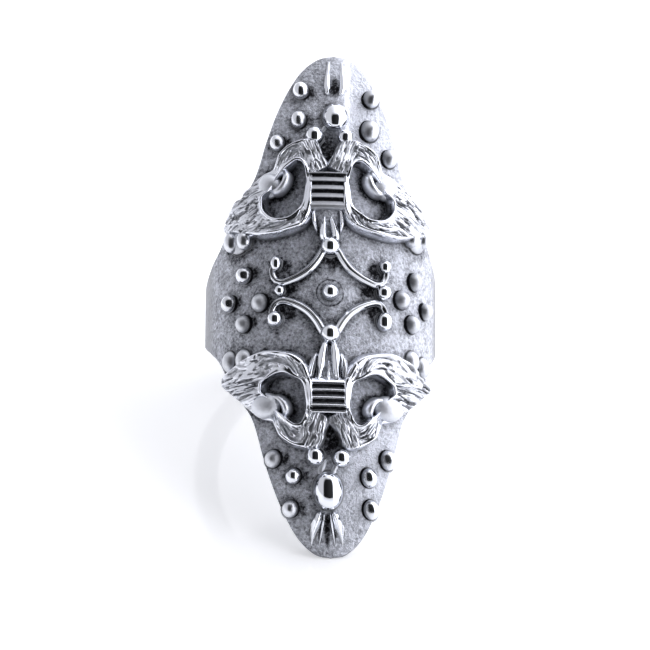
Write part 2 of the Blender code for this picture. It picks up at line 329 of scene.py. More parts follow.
PAIR_BEADS = (
    Bead(-1.67, 15.3, 0.88, 0.45, 1.0, 1.0),
    Bead(1.15, 15.25, 0.75, 0.45, 1.0, 1.0),
    Bead(-1.35, -15.5, 0.85, 0.45, 1.0, 1.0),
    Bead(1.0, -15.6, 0.82, 0.45, 1.0, 1.0),
)
SHOULDER_BEADS = (
    Bead(-8.35, 5.35, 0.75, 0.55, 1.2, 0.6),
    Bead(-9.95, 5.5, 0.78, 0.5, 1.3, 0.6),
    Bead(8.3, 6.05, 0.75, 0.55, 1.15, 0.5),
    Bead(10.05, 6.4, 0.78, 0.5, 1.15, 0.5),
    Bead(-10.45, -5.9, 0.92, -0.15, 1.15, 0.3),
    Bead(-8.6, -6.05, 0.92, -0.1, 1.15, 0.3),
    Bead(8.8, -5.75, 0.92, -0.1, 1.15, 0.3),
    Bead(10.7, -5.95, 0.92, -0.15, 1.15, 0.3),
    Bead(-9.3, 5.6, 1.9, -1.15, 0.95, 0.1),
    Bead(9.4, 6.2, 1.9, -1.15, 0.95, 0.1),
)
UPPER_KNOB = Bead(5.75, 10.7, 1.25, 0.92, 0.95, 0.15)
LOWER_KNOB = Bead(5.95, 10.7, 1.5, 1.3, 0.88, 0.0)
HOOK_BEADS = (
    Bead(-5.0, 2.7, 0.52, 0.5, 1.35, 1.0),
    Bead(5.25, 2.7, 0.6, 0.4, 1.1, 0.9),
    Bead(-5.08, -2.65, 0.75, 0.4, 1.0, 1.0),
    Bead(5.2, -2.6, 0.75, 0.4, 1.2, 1.0),
)
STAR_BEADS = (
    Bead(0.0, -0.2, 0.78, 0.45, 1.0, 1.0),
    Bead(-0.05, 4.2, 0.9, 0.5, 1.0, 1.0),
    Bead(0.0, -4.2, 0.92, 0.5, 1.0, 1.0),
    Bead(-4.65, 0.05, 0.5, 0.4, 1.0, 0.9),
    Bead(5.1, 0.15, 0.72, 0.5, 1.0, 1.0),
    Bead(0.2, 17.55, 1.25, 0.3, 1.15, 1.0, 0.35),
    Bead(-0.2, -18.55, 1.4, 0.3, 1.22, 1.0),
)
GRANULES = (
    Bead(-10.4, -0.35, 0.81, 0.3, 1.0, 0.9),
    Bead(-8.5, 2.05, 0.81, 0.3, 1.0, 0.95),
    Bead(-8.55, -2.65, 0.81, 0.2, 1.0, 0.3),
    Bead(-6.75, -0.85, 0.87, 0.1, 1.0, 0.25),
    Bead(11.0, -0.45, 0.78, 0.2, 1.0, 0.4),
    Bead(9.15, 2.0, 0.84, 0.15, 1.0, 0.3),
    Bead(8.75, -2.2, 0.84, 0.15, 1.0, 0.3),
    Bead(7.35, -0.1, 0.87, 0.15, 1.0, 0.35),
    Bead(-5.2, 14.9, 0.73, 0.25, 1.1, 0.7),
    Bead(-3.2, 17.2, 0.73, 0.3, 1.2, 0.7),
    Bead(-3.05, 20.35, 0.78, 0.3, 1.1, 0.9),
    Bead(5.75, 13.75, 0.84, 0.1, 1.1, 0.4),
    Bead(3.6, 16.35, 0.95, 0.1, 1.15, 0.4),
    Bead(3.7, 19.85, 0.84, 0.2, 1.1, 0.6),
    Bead(-5.35, -15.6, 0.81, 0.1, 1.0, 0.35),
    Bead(-3.4, -17.25, 0.73, 0.3, 1.0, 0.9),
    Bead(-3.7, -20.15, 0.76, 0.2, 1.0, 0.6),
    Bead(5.7, -15.4, 0.81, 0.2, 1.1, 0.75),
    Bead(3.7, -17.2, 0.78, 0.25, 1.1, 0.9),
    Bead(3.9, -20.0, 0.78, 0.2, 1.1, 0.85),
)
ALL_BEADS = STAR_BEADS + HOOK_BEADS + GRANULES + PAIR_BEADS + SHOULDER_BEADS
KNOB_BULGE = 0.12
KNOB_TURN = 2.4

# The disc under the centre bead: shares of its radius and of its height, and its oxide
DISC_RADIUS = 1.35
DISC_HEIGHT = 0.1
DISC_PROFILE = (
    (0.02, 0.6, 0.85),
    (0.45, 0.6, 0.8),
    (0.62, 0.65, 0.66),
    (0.7, 0.85, 0.55),
    (0.78, 1.0, 0.42),
    (0.86, 0.85, 0.5),
    (0.93, 0.4, 0.8),
    (1.0, -0.2, 1.0),
    (1.0, -3.0, 1.0),
)

# Where oxide gathers and painted shade falls: the star's corners, inside the hooks, the slits at the
# tips, between the legs
OXIDE_AND_SHADE_POOLS = (
    Pool(-3.85, 0.3, 0.75, 0.55, 1.0),
    Pool(3.9, 0.2, 0.9, 0.5, 1.0),
    Pool(0.2, 3.0, 0.45, 0.75, 1.5),
    Pool(0.1, -3.1, 0.5, 0.6, 0.6),
    Pool(-4.35, 2.45, 0.5, 0.6, 1.0),
    Pool(4.45, 2.35, 0.6, 0.65, 1.3),
    Pool(-4.0, -1.95, 0.65, 0.6, 1.5),
    Pool(4.5, -1.9, 0.65, 0.65, 1.5),
    Pool(-0.3, -22.1, 0.2, 1.2, 1.0),
    Pool(-0.98, -22.4, 0.12, 0.6, 0.9),
    Pool(0.38, -22.4, 0.12, 0.6, 0.9),
    Pool(0.1, 20.7, 0.36, 0.8, 1.2),
    Pool(1.25, 20.6, 0.1, 0.8, 0.9),
)
LEG_POOL = Pool(0.0, 13.8, 1.1, 1.9, 1.0, rim=1.5)

# The three finishes of the one casting
# A finish's oxide value is how strongly the oxide and the painted shade darken it
FINISHES = {
    "field": Finish("satin_silver", 1.0, 0.1, 0.48, 0.95, 0.00024, (0.79, 0.81, 0.88, 1.0), 0.75),
    "bark": Finish("bark_silver", 0.7, 0.14, 0.36, 0.9, 0.00006, (0.88, 0.9, 0.96, 1.0), 0.5),
    "bright": Finish("bright_silver", 0.5, 0.07, 0.55, 1.0, 0.00006, (0.87, 0.89, 0.94, 1.0), 0.3),
}
OXIDE_ROUGHNESS = 0.25

# The light tent, and the opening in it that the camera looks through
OPENING_WIDTH = 0.66
OPENING_HEIGHT = 0.9
OPENING_DARKNESS = 0.985
TENT_LEFT = 0.68
TENT_RIGHT = 2.4
TENT_COLOR = (0.94, 0.947, 1.0, 1.0)

# The white sheet under the ring, metres
SHEET_REACH = 3.0
SHEET_DROP = 0.00002
SHEET_COLOR = (0.93, 0.93, 0.94, 1.0)
SHEET_GLOW = (0.97, 0.98, 1.0, 1.0)
SHEET_GLOW_STRENGTH = 0.45


# Steps and curves of one value

def unit(value):
    """The value, held between 0 and 1."""
    return np.clip(value, 0.0, 1.0)


def rising(value, start, run):
    """0 up to the start, then evenly up to 1 over the run."""
    return unit((value - start) / run)


def falling(value, stop, run):
    """1 at first, then evenly down over the run, to 0 at the stop."""
    return unit((stop - value) / run)


def bell(distance, spread):
    """A bell curve: 1 at no distance, and 0.37 at one spread."""
    return np.exp(-(distance / spread) ** 2)


def rounded(distance, radius, least=0.0):
    """Height of a quarter circle over its own radius, at a distance from the edge it starts from."""
    return np.sqrt(np.clip(1.0 - (1.0 - unit(distance / radius)) ** 2, least, 1.0))


# The chart

def sag(along):
    """The face bends down as a power of the distance from its middle."""
    return FACE_SAG * (np.abs(along) / FACE_REACH) ** SAG_POWER


def to_world(x, y, z):
    """Lean the ring's own axes back by the rest angle, about the middle of the finger hole."""
    turn_cos = math.cos(LEAN_BACK)
    turn_sin = math.sin(LEAN_BACK)
    wide = x + HOLE_MIDDLE[0]
    deep = y * turn_cos - z * turn_sin + HOLE_MIDDLE[1]
    high = y * turn_sin + z * turn_cos + HOLE_MIDDLE[2]
    return np.stack([wide, deep, high], axis=-1) * MM


def on_face(out, along, lift):
    """A circle round the finger, dropped by the sag, plus lift along the surface normal."""
    out, along, lift = np.broadcast_arrays(out, along, lift)
    angle = (out + TIP_LEAN * (along / FACE_REACH) ** 2) / BAND_RADIUS
    slope = FACE_SAG * SAG_POWER / FACE_REACH * (np.abs(along) / FACE_REACH) ** (SAG_POWER - 1.0)
    normal_y = slope * np.sign(along) * np.cos(angle)
    share = lift / np.sqrt(1.0 + normal_y ** 2)
    x = (BAND_RADIUS + share) * np.sin(angle)
    z = (BAND_RADIUS + share) * np.cos(angle) - sag(along)
    return to_world(x, along + share * normal_y, z)


def thickness(along):
    """Smooth step from the band's thickness to the tips'."""
    share = rising(np.abs(along), THICK_UNTIL, THIN_FROM - THICK_UNTIL)
    band = BAND_RADIUS - BORE_RADIUS
    return band + (TIP_THICKNESS - band) * share * share * (3.0 - 2.0 * share)


def curve(before, start, end, after, t):
    """Catmull-Rom curve between start and end."""
    bend = 2.0 * before - 5.0 * start + 4.0 * end - after
    cubic = 3.0 * (start - end) + after - before
    return start + 0.5 * t * (end - before + t * (bend + t * cubic))


def smooth_path(sections, steps):
    """Smooth curve through the rows, sampled at even parameter steps, as one array."""
    rows = np.array(sections, dtype=float)
    padded = np.vstack([2.0 * rows[0] - rows[1], rows, 2.0 * rows[-1] - rows[-2]])
    share = np.linspace(0.0, len(rows) - 1.0, steps + 1)
    span = np.minimum(share.astype(int), len(rows) - 2)
    return curve(*(padded[span + k] for k in range(4)), (share - span)[:, None])


def smooth_loop(sections, steps):
    """The same curve through rows that close on themselves."""
    rows = np.array(sections, dtype=float)
    share = np.linspace(0.0, len(rows), steps, endpoint=False)
    span = share.astype(int)
    return curve(*(rows[(span + k) % len(rows)] for k in (-1, 0, 1, 2)), (share - span)[:, None])


def run_length(points):
    """Length along a line of points, from its start to each of them."""
    return np.concatenate([[0.0], np.cumsum(np.hypot(*np.diff(points, axis=0).T))])


def drift(out, along, end):
    """How far the scrolls of one end stand off the true quarter, across and along the finger."""
    upper = end > 0
    sideways = (UPPER_SHIFT if upper else LOWER_SHIFT) * rising(along, SCROLL_START, 4.0)
    sideways = sideways * unit(1.0 - (out / SHIFT_REACH) ** 2)
    if upper:
        endways = -ARM_DRIFT * rising(along, SCROLL_START, 1.5) * falling(along, ARM_END, 5.0)
    else:
        sideways = sideways + LEG_DRIFT * rising(along, LEG_START, 2.0) * unit(1.0 - out / LEG_SIDE)
        endways = ARM_DRIFT * rising(along, LOWER_ARM_START, 1.5) * falling(along, ARM_END, 4.0)
        endways = endways + WINDOW_DRIFT * bell(along - WINDOW_START, 0.8)
    share = rising(along, TIP_START, 1.0)
    tip_shift = UPPER_TIP_SHIFT if upper else LOWER_TIP_SHIFT
    return sideways * (1.0 - share) + tip_shift * share, endways


def placed(out, along, side, end):
    """Carry a place of the drawn quarter to its own quarter of the face."""
    sideways, endways = drift(out, along, end)
    return side * out + sideways, end * (along + endways)


def folded(out, along, end):
    """The place in the drawn quarter that a place of one end comes from, near enough for shading."""
    away = np.abs(along)
    sideways, endways = drift(np.abs(out), away, end)
    sideways, endways = drift(np.abs(out - sideways), away - endways, end)
    return np.abs(out - sideways), away - endways


def grain(u, v, seed):
    """Value noise: random heights on a unit lattice, blended with a smooth step. Range 0 to 1."""
    column = np.floor(u)
    row = np.floor(v)
    s = u - column
    t = v - row
    s = s * s * (3.0 - 2.0 * s)
    t = t * t * (3.0 - 2.0 * t)

    def corner(i, j):
        wave = np.sin((column + i) * HASH[0] + (row + j) * HASH[1] + seed * HASH[2]) * HASH[3]
        return wave - np.floor(wave)

    low = corner(0, 0) + (corner(1, 0) - corner(0, 0)) * s
    high = corner(0, 1) + (corner(1, 1) - corner(0, 1)) * s
    return low + (high - low) * t


# Shells: points and faces

def ring_quads(rows, columns, bands):
    """Quads over the first bands between rings of points. The band after the last ring closes a loop."""
    row, column = np.meshgrid(np.arange(bands), np.arange(columns), indexing="ij")
    after = (column + 1) % columns
    start = row * columns
    below = (row + 1) % rows * columns
    corners = (start + column, start + after, below + after, below + column)
    return np.stack(corners, axis=-1).reshape(-1, 4)


def tube_shell(rings, polish, recess):
    """Quads between neighbouring rings of points, and a pole at the middle of each end ring."""
    rows, columns = rings.shape[:2]
    points = rings.reshape(-1, 3)
    poles = np.stack([rings[0].mean(axis=0), rings[-1].mean(axis=0)])
    ring = np.arange(columns)
    following = (ring + 1) % columns
    first = np.stack([following, ring, np.full(columns, len(points))], axis=-1)
    last = (rows - 1) * columns
    second = np.stack([last + ring, last + following, np.full(columns, len(points) + 1)], axis=-1)
    return Shell(
        np.vstack([points, poles]),
        ring_quads(rows, columns, rows - 1),
        np.vstack([first, second]),
        np.append(polish.ravel(), [polish[0].mean(), polish[-1].mean()]),
        np.append(recess.ravel(), [recess[0].mean(), recess[-1].mean()]),
    )


def ring_shell(rings, polish, recess):
    """Quads between rings of points, with the last ring joined back to the first."""
    rows, columns = rings.shape[:2]
    quads = ring_quads(rows, columns, rows)
    return Shell(rings.reshape(-1, 3), quads, np.zeros((0, 3), int), polish.ravel(), recess.ravel())


def turned_out(shell):
    """Reverse a shell whose signed volume is negative, so that its faces point outwards."""
    parts = [shell.quads[:, [0, 1, 2]], shell.quads[:, [0, 2, 3]], shell.tris]
    corners = shell.points[np.vstack(parts)]
    middle = shell.points.mean(axis=0)
    a, b, c = (corners[:, k] - middle for k in range(3))
    if np.einsum("ij,ij->i", a, np.cross(b, c)).sum() > 0.0:
        return shell
    return shell._replace(quads=shell.quads[:, ::-1], tris=shell.tris[:, ::-1])


def add_object(name, data):
    """An object in the scene, for a mesh or a camera."""
    made = bpy.data.objects.new(name, data)
    bpy.context.scene.collection.objects.link(made)
    return made


def make_piece(name, shells, material):
    """Join shells into one mesh object with the attributes that its material reads."""
    shells = [turned_out(shell) for shell in shells]
    starts = np.cumsum([0] + [len(shell.points) for shell in shells[:-1]])
    points = np.vstack([shell.points for shell in shells])
    points[:, 2] = np.maximum(points[:, 2], 0.0)
    quads = np.vstack([shell.quads + start for shell, start in zip(shells, starts)])
    tris = np.vstack([shell.tris + start for shell, start in zip(shells, starts)])
    mesh = bpy.data.meshes.new(name)
    mesh.from_pydata(points, [], quads.tolist() + tris.tolist())
    mesh.shade_smooth()
    for field in ("polish", "recess"):
        values = np.concatenate([getattr(shell, field) for shell in shells])
        layer = mesh.attributes.new(field, "FLOAT", "POINT")
        layer.data.foreach_set("value", values.astype(np.float32))
    mesh.materials.append(material)
    piece = add_object(name, mesh)
    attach(piece, "root")
    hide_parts("ring")


# Raised forms

def line_gap(out, along, path, closed=False):
    """Distance from each chart place to a line of points, less the half width that its rows may have."""
    gap = np.full(out.shape, np.inf)
    for start, end in zip(path, np.roll(path, -1, axis=0) if closed else path[1:]):
        run_out, run_along = end[:2] - start[:2]
        share = (out - start[0]) * run_out + (along - start[1]) * run_along
        share = unit(share / (run_out ** 2 + run_along ** 2))
        away = np.hypot(out - start[0] - share * run_out, along - start[1] - share * run_along)
        half_width = start[2] + share * (end[2] - start[2]) if len(start) > 2 else 0.0
        gap = np.minimum(gap, away - half_width)
    return gap


def within(out, along, path):
    """Whether each chart place is inside a closed line: it crosses the line an odd number of times."""
    crossed = np.zeros(out.shape, bool)
    for start, end in zip(path, np.roll(path, -1, axis=0)):
        spans = (start[1] > along) != (end[1] > along)
        rise = end[1] - start[1] if end[1] != start[1] else 1e-9
        crossed ^= spans & (out < start[0] + (along - start[1]) * (end[0] - start[0]) / rise)
    return crossed


def bead_gap(out, along, beads):
    """Distance from each chart place to the edge of the nearest bead."""
    gap = np.full(out.shape, np.inf)
    for bead in beads:
        away = np.hypot(out - bead.out, (along - bead.along) / bead.stretch)
        gap = np.minimum(gap, away - bead.radius)
    return gap


def ridge_shell(ridge, side, end):
    """A form carried along its path: a round dome or, with a crest, steep sides under a sloping roof.

    Both ends close on a quarter circle. The ridge's cut gives marks from 0 to 1 across it, and
    its polish goes over to satin on its last `fade` millimetres.
    """
    path = smooth_path(ridge.sections, ridge.steps)
    reach = path[:, 2:3]
    height = path[:, 3:4]
    runs = np.gradient(path[:, :2], axis=0)
    runs /= np.linalg.norm(runs, axis=1, keepdims=True)
    length = run_length(path[:, :2])
    left = length[-1] - length
    closing = (rounded(length, RIDGE_END, least=0.004) * rounded(left, RIDGE_END, least=0.004))[:, None]
    across = np.sin(np.linspace(-0.5 * math.pi, 0.5 * math.pi, ridge.columns))[None, :]
    if ridge.crest > 0.0:
        roof = np.maximum(height - ridge.crest * np.abs(across) * reach, ROOF_EAVES * height)
        dome = roof / np.maximum(height, 1e-3) * rounded((1.0 - np.abs(across)) * reach, ROOF_EDGE)
    else:
        dome = (1.0 - np.abs(across) ** 2.2) ** 0.7 + 0.0 * reach
    marks = ridge.cut(across * reach) * dome ** 0.5 if ridge.cut else 0.0 * dome
    lift = -FOOT + (height * closing + FOOT) * dome - ridge.depth * marks * closing
    below = np.linspace(0.9, -0.9, 3)[None, :]
    sideways = np.hstack([across, below]) * (reach * closing)
    out = path[:, 0:1] + runs[:, 1:2] * sideways
    along = path[:, 1:2] - runs[:, 0:1] * sideways
    out, along = placed(out, along, side, end)
    under = np.zeros((len(path), 3))
    recess = unit((1.0 - dome) ** 2 + marks * min(1.0, ridge.depth * 6.0))
    shine = unit(left / ridge.fade)[:, None] if ridge.fade > 0.0 else 1.0
    polish = unit(ridge.polished * shine - 0.5 * marks)
    lift = np.hstack([lift, under - ROOT])
    return tube_shell(
        on_face(out, along, lift),
        np.hstack([polish, under]),
        np.hstack([recess, under + 1.0]),
    )


def strand_marks(places, length, from_window, end, seed):
    """Bark marks of a scroll: round its window, out over the shoulder and down the leg.

    The shoulder's and the leg's shares of each place come back with them.
    """
    out = places[:, :, 0]
    along = places[:, :, 1]
    shoulder = rising(out, SHOULDER_SIDE, 1.4)
    leg = rising(along, LEG_BARK_START, 0.6) * falling(out, LEG_BARK_SIDE, 0.6)
    slant = UPPER_SLANT if end > 0 else LOWER_SLANT
    marks = bark_cut(length, from_window - WINDOW_SLANT * length, seed) * (1.0 - shoulder) * (1.0 - leg)
    marks = marks + bark_cut(out, along - slant * out, seed + 5) * shoulder
    marks = marks + 0.7 * bark_cut(along, out - LEG_SLANT * along, seed + 8) * leg
    return marks, shoulder, leg


def frame_shell(side, end, seed):
    """The scroll round one window: a slab between two closed lines, carried once round the window.

    Its section climbs the window's wall, rolls over a smooth lip, crosses the bark, rolls down
    the outer edge and comes back below the face.
    """
    path = smooth_loop(SCROLL_FRAME, FRAME_STEPS)
    inner = path[:, None, 0:2]
    outer = path[:, None, 2:4]
    height = path[:, 4:5]
    bark = unit(path[:, 5:6])
    length = run_length(0.5 * (path[:, 0:2] + path[:, 2:4]))[:, None]
    width = np.linalg.norm(outer - inner, axis=2)
    u = 0.5 - 0.5 * np.cos(np.linspace(0.0, math.pi, FRAME_COLUMNS))[None, :]
    from_window = u * width
    from_outside = (1.0 - u) * width
    edges = rounded(from_window, np.minimum(WINDOW_ROUND, 0.3 * width))
    edges = edges * rounded(from_outside, np.minimum(OUTSIDE_ROUND, 0.4 * width))
    lip = bell(from_window - LIP_PLACE, LIP_SPREAD)
    roll = bell(from_outside - ROLL_PLACE, ROLL_SPREAD) * unit(path[:, 6:7])
    rims = np.maximum(lip, roll)
    smooth = unit(rims * 1.6)
    places = inner + (outer - inner) * u[:, :, None]
    strands, shoulder, leg = strand_marks(places, length, from_window, end, seed)
    marks = strands * bark * (1.0 - smooth) * unit(edges * 1.6 - 0.4)
    swell = grain(places[:, :, 0] * 0.9, places[:, :, 1] * 1.3, seed + SWELL_SEED) - 0.5
    to_window = np.clip(0.75 - from_window, 0.0, None)
    to_post = np.where(path[:, 0:1] < POST_OUT, to_window, np.clip(from_window, 0.0, 0.8))
    slope = POST_SLOPE * (1.0 - bark) * to_post
    body = height + LIP_HEIGHT * rims + BARK_SWELL * swell * bark - slope - BARK_DEPTH * marks
    top = WINDOW_FLOOR * (1.0 - edges) + body * edges
    wall = np.linspace(-ROOT, WINDOW_FLOOR, 4)[None, :-1] + 0.0 * height
    below = np.full((len(path), 4), -ROOT)
    lift = np.hstack([wall, top, below])
    back = np.linspace(0.96, 0.04, 4)[None, :] + 0.0 * below
    across = np.hstack([0.0 * wall, u + 0.0 * width, back])
    places = inner + (outer - inner) * across[:, :, None]
    out, along = placed(places[:, :, 0], places[:, :, 1], side, end)
    # Oxide in the bark marks, with painted light and shade by side: lighter on the left, darker and
    # evenly darkened on the right
    left_oxide_and_shade = LEFT_BARK_OXIDE_AND_SHADE + LEFT_SHOULDER_OXIDE_AND_SHADE * shoulder + LEFT_LEG_OXIDE_AND_SHADE * leg
    stain = left_oxide_and_shade * marks if side < 0 else RIGHT_BARK_FILM_AND_SHADE * bark + RIGHT_BARK_OXIDE_AND_SHADE * marks
    stain = unit(unit(1.0 - edges * 1.5) + stain)
    recess = np.hstack([0.0 * wall + 1.0, stain, 0.0 * below + 1.0])
    shine = unit(smooth + (1.0 - bark) * 0.6 + 0.25 - 0.5 * marks)
    polish = np.hstack([0.0 * wall, shine, 0.0 * below])
    return ring_shell(on_face(out, along, lift), polish, recess)


def bark_cut(length, across, seed):
    """Bark: lens-shaped pits where a stretched noise is high, and thin creases at another's middle."""
    wander = 0.4 * grain(length * 0.8, across * 0.8, seed + 3)
    stagger = 2.0 * grain(0.0 * length, (across + wander) * 5.2, seed + 9)
    pits = grain((length + stagger) * 1.2, (across + wander) * 5.2, seed)
    creases = np.abs(grain(length, (across - wander) * 7.2, seed + 7) - 0.5)
    return unit(unit(pits * 7.0 - 4.4) + 0.6 * unit(1.0 - creases * 7.0))


def wire_cut(across):
    """One groove down the middle, as between two wires laid side by side."""
    return bell(across, 0.09)


def blade_cut(across):
    """A crease on each flank of a blade."""
    return bell(np.abs(across) - 0.22, 0.06)


def bead_shells(beads, sides=30, point=1.0, shade=0.0):
    """A ball on a hollow curved foot, turned round the normal and stretched along the finger.

    A larger `point` sharpens the ball's top; `shade` is painted shade on its flank towards the ring's
    middle.
    """
    turn = np.linspace(0.0, 2.0 * math.pi, sides, endpoint=False)
    spread = np.linspace(0.1, 1.0, FOOT_ROWS)
    row = np.arange(BALL_ROWS + FOOT_ROWS + 1)
    made = []
    for bead in beads:
        lowest = math.acos(max(-0.9, min(0.9, (0.2 - bead.height) / bead.radius)))
        polar = np.linspace(0.06, lowest, BALL_ROWS)
        waist = bead.radius * math.sin(lowest)
        widest = math.sin(min(lowest, 0.5 * math.pi))
        ball = bead.radius * widest * (np.sin(polar) / widest) ** point
        foot = ball[-1] + spread * BEAD_FLARE * min(bead.radius, 1.0)
        radius = np.concatenate([ball, foot, [waist]])
        ball_height = bead.height + bead.radius * np.cos(polar)
        height = np.concatenate([ball_height, 0.24 * (1.0 - spread) ** 2 - 0.05, [-ROOT]])
        above = np.clip(height, 0.0, None)
        spoke = radius * BAND_RADIUS / (BAND_RADIUS + above)
        out = bead.out + np.outer(spoke, np.cos(turn))
        along = bead.along + bead.stretch * np.outer(radius, np.sin(turn))
        along = along - bead.lean * above[:, None]
        # Painted shade: the flank that faces the middle of the ring is darkened, as the lights stand
        # left and right.
        shaded_flank = np.outer(unit(row / FLANK_ROWS) ** 1.5, unit(-np.sign(bead.out) * np.cos(turn)))
        crease = 0.45 * bell(row - BALL_ROWS - 0.5, 2.0) + 0.3 * (row >= BALL_ROWS)
        recess = (crease + 0.2 * (1.0 - bead.polish))[:, None] + shade * shaded_flank
        polish = bead.polish * (row < BALL_ROWS - 1)[:, None] + 0.0 * shaded_flank
        made.append(tube_shell(on_face(out, along, height[:, None]), polish, recess))
    return made


def knob_shell(side, end):
    """The smooth swelling where a scroll ends: half an ellipsoid that bulges to one side."""
    knob = UPPER_KNOB if end > 0 else LOWER_KNOB
    turn = np.linspace(0.0, 2.0 * math.pi, 56, endpoint=False)[None, :]
    polar = np.linspace(0.04, 0.5 * math.pi, 22)[:, None]
    radius = knob.radius * np.sin(polar) * (1.0 + KNOB_BULGE * np.cos(turn + KNOB_TURN))
    lift = knob.height * np.cos(polar) ** 0.85 + 0.0 * turn
    out = knob.out + radius * np.cos(turn)
    along = knob.along + knob.stretch * radius * np.sin(turn)
    out = np.vstack([out, out[-1]])
    along = np.vstack([along, along[-1]])
    lift = np.vstack([lift, 0.0 * lift[-1] - ROOT])
    out, along = placed(out, along, side, end)
    recess = unit(1.0 - lift * 2.5)
    return tube_shell(on_face(out, along, lift), knob.polish + 0.0 * lift, recess)


def collar_shell(collar, end):
    """A block across the middle. Its top rises and falls along the finger as bars and flat grooves.

    A sloping collar's bars fall away towards the tip. The side towards the star ends in a step.
    """
    start = -1.0 - collar.step / COLLAR_HALF_LENGTH
    place = np.linspace(start, 1.0, 280)[:, None]
    across = np.linspace(-1.0, 1.0, 40)[None, :]
    phase = (GROOVE_PITCH * place * COLLAR_GROOVES) % 1.0 + 0.0 * across
    taper = 0.5 * unit(np.abs(across) * 8.0 - 7.0)
    if collar.sloping:
        bar = unit(1.0 - phase / 0.6 + taper)
    else:
        bar = unit((np.abs(phase - 0.5) * 2.0 - 0.45) / 0.55 + taper) ** 0.85
    step = np.clip(-0.9 - place, 0.0, None) * COLLAR_HALF_LENGTH
    bar = np.where(step > 0.0, 1.0, bar)
    ends = rounded((1.0 - place) * COLLAR_HALF_LENGTH, 0.12)
    ends = ends * rounded((place - place[0]) * COLLAR_HALF_LENGTH, 0.2)
    bar_rise = COLLAR_BAR_LIFT - COLLAR_GROOVE_LIFT
    lift = (COLLAR_GROOVE_LIFT + bar_rise * bar - STEP_SLOPE * step) * ends
    below = np.linspace(1.0, -1.0, 4)[None, :] + 0.0 * place
    out = np.hstack([across + 0.0 * place, below]) * COLLAR_HALF_WIDTH
    along = COLLAR_MIDDLE - collar.shift + place * COLLAR_HALF_LENGTH + 0.0 * out
    out, along = placed(out, along, 1, end)
    stain = np.maximum(unit(1.0 - bar * 4.0), collar.stain)
    recess = np.hstack([stain, 0.0 * below + 1.0])
    polish = np.hstack([collar.polish * unit(bar * 4.0), 0.0 * below])
    lift = np.hstack([lift, 0.0 * below - ROOT])
    return tube_shell(on_face(out, along, lift), polish, recess)


def disc_shell():
    """A low disc with a rounded rim under the centre bead, from rings of its profile."""
    turn = np.linspace(0.0, 2.0 * math.pi, DISC_SIDES, endpoint=False)
    share, rise, stain = np.array(DISC_PROFILE).T[:, :, None]
    out = share * DISC_RADIUS * np.cos(turn)
    along = share * DISC_RADIUS * np.sin(turn) + STAR_BEADS[0].along
    recess = stain + 0.0 * out
    return tube_shell(on_face(out, along, rise * DISC_HEIGHT), 0.0 * recess, recess)


# The metal that carries it all

def pool_shade(out, along, pool):
    """Full depth inside an oval, then fading: it is gone at `rim` half sizes from the middle."""
    away = np.hypot((out - pool.out) / pool.half_out, (along - pool.along) / pool.half_along)
    return pool.depth * unit(pool.rim - away)


def quarter_shade(out, along, end):
    """The gap to one end's scrolls, how dark their oxide and painted shadow lie, and what a window
    holds.
    """
    out, along = folded(out, along, end)
    frame_path = smooth_loop(SCROLL_FRAME, 66)
    window = frame_path[:, 0:2]
    inside = within(out, along, window)
    to_window = line_gap(out, along, window, closed=True)
    to_outside = line_gap(out, along, frame_path[:, 2:4], closed=True)
    knob = UPPER_KNOB if end > 0 else LOWER_KNOB
    gap = np.minimum(to_outside, bead_gap(out, along, (knob,)))
    for sections in (STAR_ARC, SIDE_BLADE):
        gap = np.minimum(gap, line_gap(out, along, smooth_path(sections, 24)))
    wall_shadow = np.exp(-(to_window / 0.42) ** 1.5) * np.clip((out - 2.2) / 1.4, 0.2, 1.0)
    to_claw = np.clip(line_gap(out, along, smooth_path(CLAW, 24)), 0.0, None)
    floor = np.maximum(WINDOW_FILM + WINDOW_SHADOW * wall_shadow, CLAW_SHADOW * bell(to_claw, 0.4))
    dark = np.maximum(np.where(inside, floor, 0.0), pool_shade(out, along, LEG_POOL))
    return gap, dark, inside


def face_oxide_and_shade(out, along):
    """How dark the oxide and painted shade lie on each place of the face, and which are window floors.
    """
    upper = along > 0.0
    upper_gap, upper_dark, upper_in = quarter_shade(out, along, 1)
    lower_gap, lower_dark, lower_in = quarter_shade(out, along, -1)
    gap = np.where(upper, upper_gap, lower_gap)
    gap = np.minimum(gap, bead_gap(out, along, ALL_BEADS))
    right = rising(out, -1.0, 3.0)
    tips = rising(np.abs(along), 8.0, 7.0)
    # Oxide and painted shadow at the foot of raised forms, painted lighter on the right, most towards
    # the tips, where the light falls
    near = np.exp(-(np.clip(gap, 0.0, None) / 0.34) ** 1.2)
    near = near * (BEAD_SHADOW - (0.35 + 0.25 * tips) * right)
    dark = np.maximum(near, np.where(upper, upper_dark, lower_dark))
    for pool in OXIDE_AND_SHADE_POOLS:
        dark = np.maximum(dark, pool_shade(out, along, pool))
    # Painted shadow on the face beside each granule, on its side towards the middle of the ring, deeper
    # on the left
    for bead in GRANULES:
        inward = -np.sign(bead.out)
        beside = bead.out + inward * (bead.radius + 0.3)
        pool = Pool(beside, bead.along, 0.36, 0.55, 0.5 + 0.4 * inward, 1.6)
        dark = np.maximum(dark, pool_shade(out, along, pool))
    # The even oxide film, painted lighter on the right and towards the tips where more light falls;
    # painted shade darkens the lower tip and the upper tip left of its keel
    film_and_shade = FIELD_FILM * (1.0 - 0.4 * right) * (1.0 - tips * (0.3 + 0.7 * right))
    film_and_shade = film_and_shade + TIP_SHADE * rising(np.abs(along), 18.0, 4.0) * np.where(upper, 1.0 - right, 1.0)
    return unit(film_and_shade + (1.0 - film_and_shade) * dark), np.where(upper, upper_in, lower_in)


